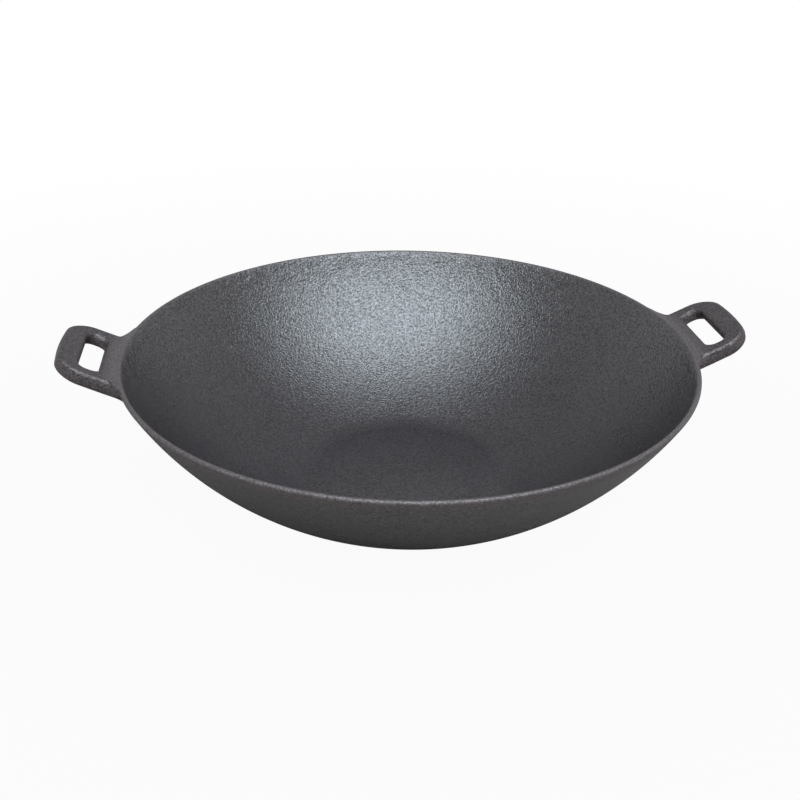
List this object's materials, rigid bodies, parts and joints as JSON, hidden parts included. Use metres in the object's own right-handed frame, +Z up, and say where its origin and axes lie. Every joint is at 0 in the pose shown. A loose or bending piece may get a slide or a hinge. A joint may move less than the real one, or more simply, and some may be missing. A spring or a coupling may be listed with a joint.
{
  "type": "kadai",
  "caption": "Wide round-sided cast-iron frying pan with a flat foot and a loop handle at each side, for deep frying and stir frying.",
  "frame": {"origin": "centre of the foot's underside, on the surface that the pan stands on", "axes": "+Z up; +X along the line of the two handles, towards the handle on the right of the picture; +Y away from the side that the picture is taken from"},
  "size_m": [0.4308, 0.3599, 0.1131],
  "materials": {
    "seasoned_iron": "sand cast and seasoned, satin, with a fine pebbled grain"
  },
  "bodies": {
    "root": {"bowl": "seasoned_iron", "foot": "seasoned_iron", "handle_left": "seasoned_iron", "handle_right": "seasoned_iron"}
  },
  "joints": []
}
